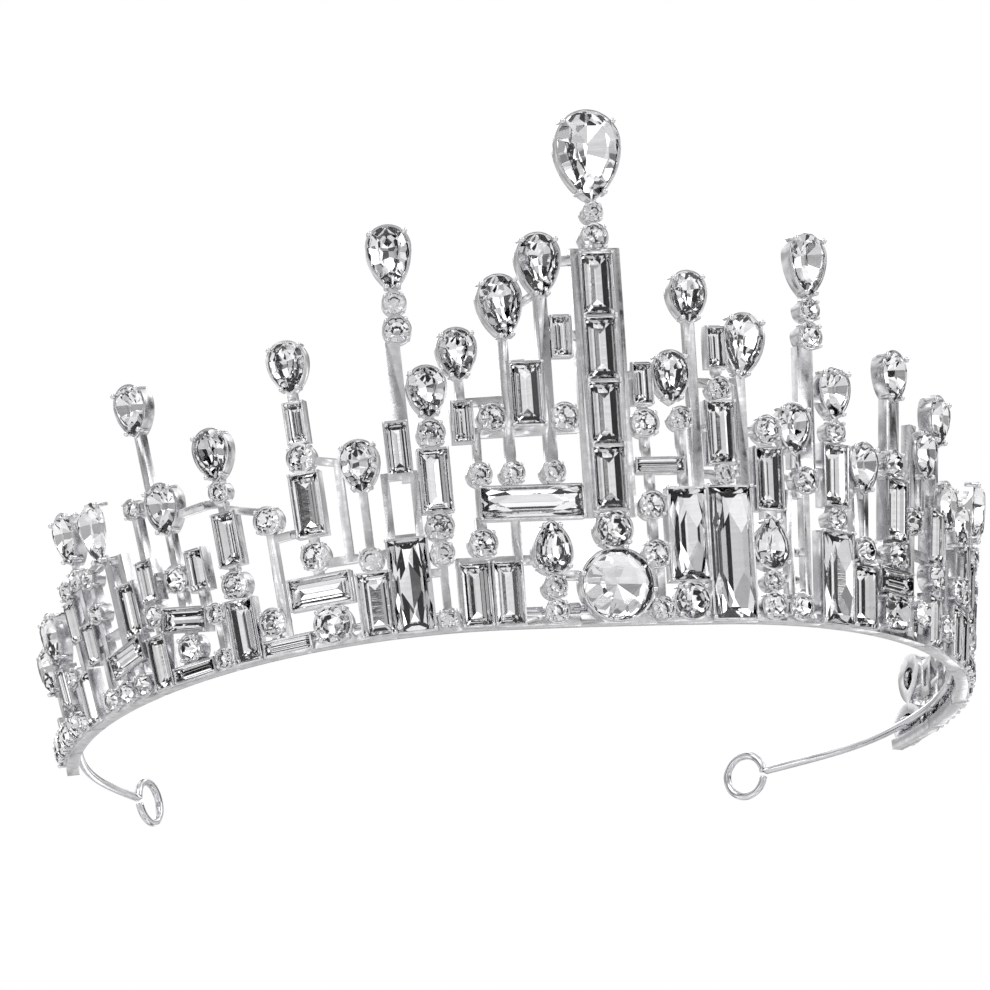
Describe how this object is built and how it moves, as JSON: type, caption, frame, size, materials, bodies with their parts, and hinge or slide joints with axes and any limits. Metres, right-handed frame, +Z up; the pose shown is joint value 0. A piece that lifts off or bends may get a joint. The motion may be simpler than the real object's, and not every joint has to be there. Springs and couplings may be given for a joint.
{
  "type": "bridal tiara",
  "caption": "Openwork bridal tiara: silver-plated cast panels of stems and cups set with pear, round and baguette glass stones, on a wire hoop with two hair loops.",
  "frame": {"origin": "middle of the footprint, on the plane of the rail's flat underside", "axes": "+Z up, -Y to the front of the tiara, +X to the wearer's left"},
  "size_m": [0.1578, 0.1264, 0.0812],
  "materials": {
    "plated_casting": "bright silver plating over cast zinc alloy",
    "plated_wire": "bright plating over steel wire",
    "solder": "smooth soft solder, plated over",
    "pear_glass": "clear faceted glass, foil backed",
    "round_glass": "clear faceted glass, foil backed",
    "step_cut_glass": "clear step-cut glass, foil backed"
  },
  "bodies": {
    "root": {"baguette_stones_centre": "step_cut_glass", "baguette_stones_left_front": "step_cut_glass", "baguette_stones_left_wing": "step_cut_glass", "baguette_stones_right_front": "step_cut_glass", "baguette_stones_right_wing": "step_cut_glass", "centre_drop_stone": "pear_glass", "crest_pear_stone": "pear_glass", "cushion_stone": "step_cut_glass", "hair_loop_left": "plated_wire", "hair_loop_right": "plated_wire", "hoop_wire": "plated_wire", "large_round_stones": "round_glass", "long_bar_stone": "step_cut_glass", "long_plate_stone": "step_cut_glass", "panel_centre_spire": "plated_casting", "panel_left_centre": "plated_casting", "panel_left_shoulder": "plated_casting", "panel_left_tail": "plated_casting", "panel_left_tower": "plated_casting", "panel_left_wing_end": "plated_casting", "panel_left_wing_front": "plated_casting", "panel_left_wing_mid": "plated_casting", "panel_left_wing_rear": "plated_casting", "panel_right_centre": "plated_casting", "panel_right_shoulder": "plated_casting", "panel_right_tail": "plated_casting", "panel_right_tower": "plated_casting", "panel_right_wing_back": "plated_casting", "panel_right_wing_end": "plated_casting", "panel_right_wing_front": "plated_casting", "panel_right_wing_mid": "plated_casting", "panel_right_wing_rear": "plated_casting", "pear_stones_left_front": "pear_glass", "pear_stones_left_wing": "pear_glass", "pear_stones_right_front": "pear_glass", "pear_stones_right_wing": "pear_glass", "plate_stones": "step_cut_glass", "round_stones_centre": "round_glass", "round_stones_left_front": "round_glass", "round_stones_left_wing": "round_glass", "round_stones_right_front": "round_glass", "round_stones_right_wing": "round_glass", "slim_baguette_stones_left_front": "step_cut_glass", "slim_baguette_stones_left_wing": "step_cut_glass", "slim_baguette_stones_right_front": "step_cut_glass", "slim_baguette_stones_right_wing": "step_cut_glass", "small_round_stones_centre": "round_glass", "small_round_stones_left_front": "round_glass", "small_round_stones_left_wing": "round_glass", "small_round_stones_right_front": "round_glass", "small_round_stones_right_wing": "round_glass", "solder_beads": "solder", "tall_pear_stones_left_front": "pear_glass", "tall_pear_stones_left_wing": "pear_glass", "tall_pear_stones_right_front": "pear_glass", "tall_pear_stones_right_wing": "pear_glass"}
  },
  "joints": []
}
